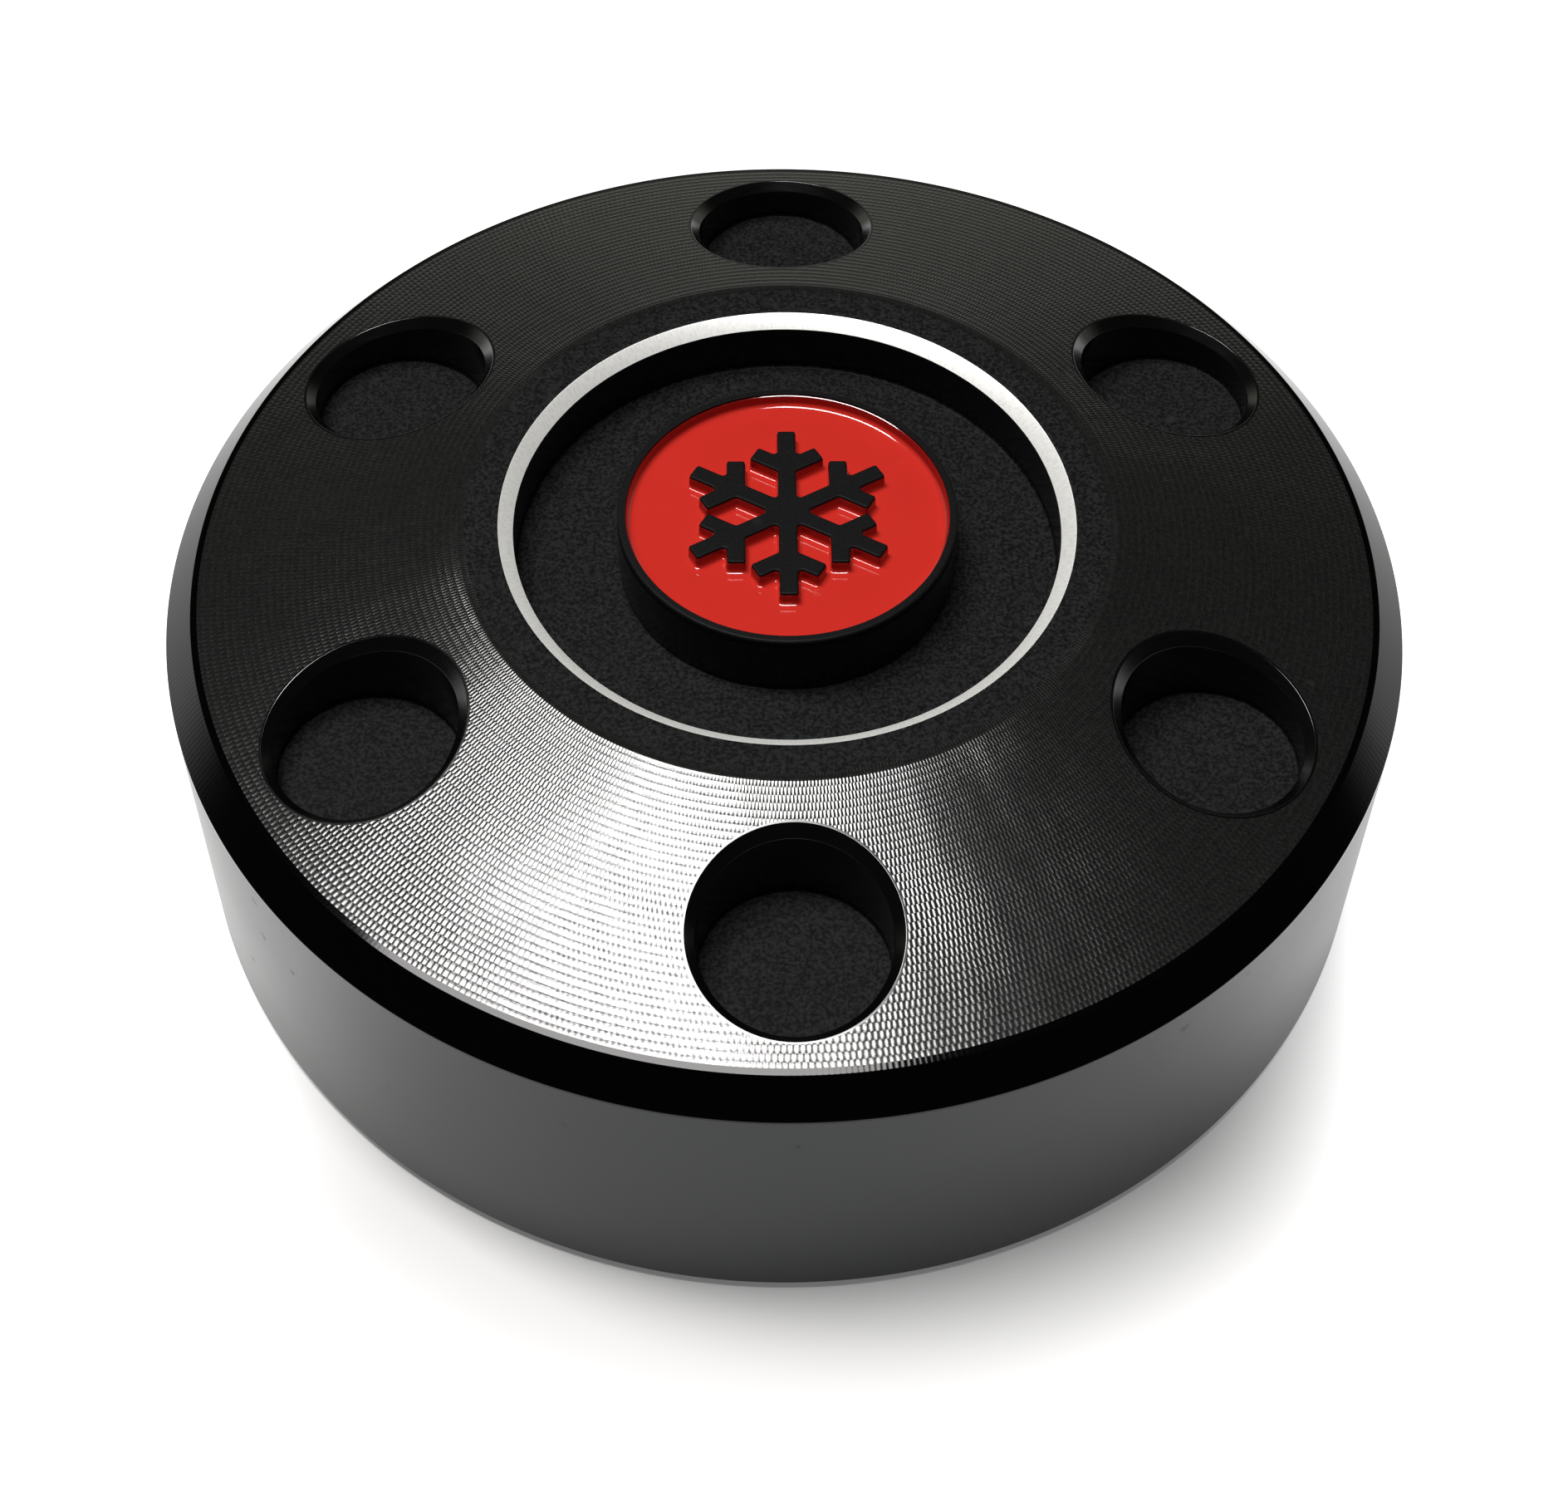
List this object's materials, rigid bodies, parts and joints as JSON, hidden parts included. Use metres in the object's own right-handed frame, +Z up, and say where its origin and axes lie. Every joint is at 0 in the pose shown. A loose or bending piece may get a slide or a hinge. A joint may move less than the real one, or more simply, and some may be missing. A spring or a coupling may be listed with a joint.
{
  "type": "presentation hockey puck",
  "caption": "Puck turned from black anodised aluminium, with a sloping crown, round blind pockets and an enamelled centre boss in a recess.",
  "frame": {"origin": "centre of the underside, on the surface that the glides stand on", "axes": "+Z up along the turning axis; pocket 1 lies towards -Y"},
  "size_m": [0.0762, 0.0762, 0.0262],
  "materials": {
    "black_anodised": "turned, black anodised, with one bright-cut bare ring",
    "emblem_black": "turned and milled, black anodised, matte top",
    "base_anodised": "faced, black anodised",
    "red_enamel": "gloss resin enamel",
    "pin_steel": "ground",
    "fastener_steel": "zinc plated",
    "fastener_black": "black oxide",
    "core_rubber": "moulded",
    "seal_rubber": "moulded",
    "glide_white": "machined low-friction plastic"
  },
  "bodies": {
    "root": {"puck_shell": "black_anodised", "emblem_boss": "emblem_black", "emblem_enamel": "red_enamel", "emblem_dowel": "pin_steel", "emblem_washer": "fastener_steel", "emblem_screw": "fastener_steel", "core_ring": "core_rubber", "base_plate": "base_anodised", "base_seal": "seal_rubber", "base_screw_1": "fastener_black", "base_screw_2": "fastener_black", "base_screw_3": "fastener_black", "base_screw_4": "fastener_black", "base_screw_5": "fastener_black", "base_screw_6": "fastener_black", "glide_1": "glide_white", "glide_2": "glide_white", "glide_3": "glide_white", "glide_4": "glide_white", "glide_5": "glide_white", "glide_6": "glide_white"}
  },
  "joints": []
}
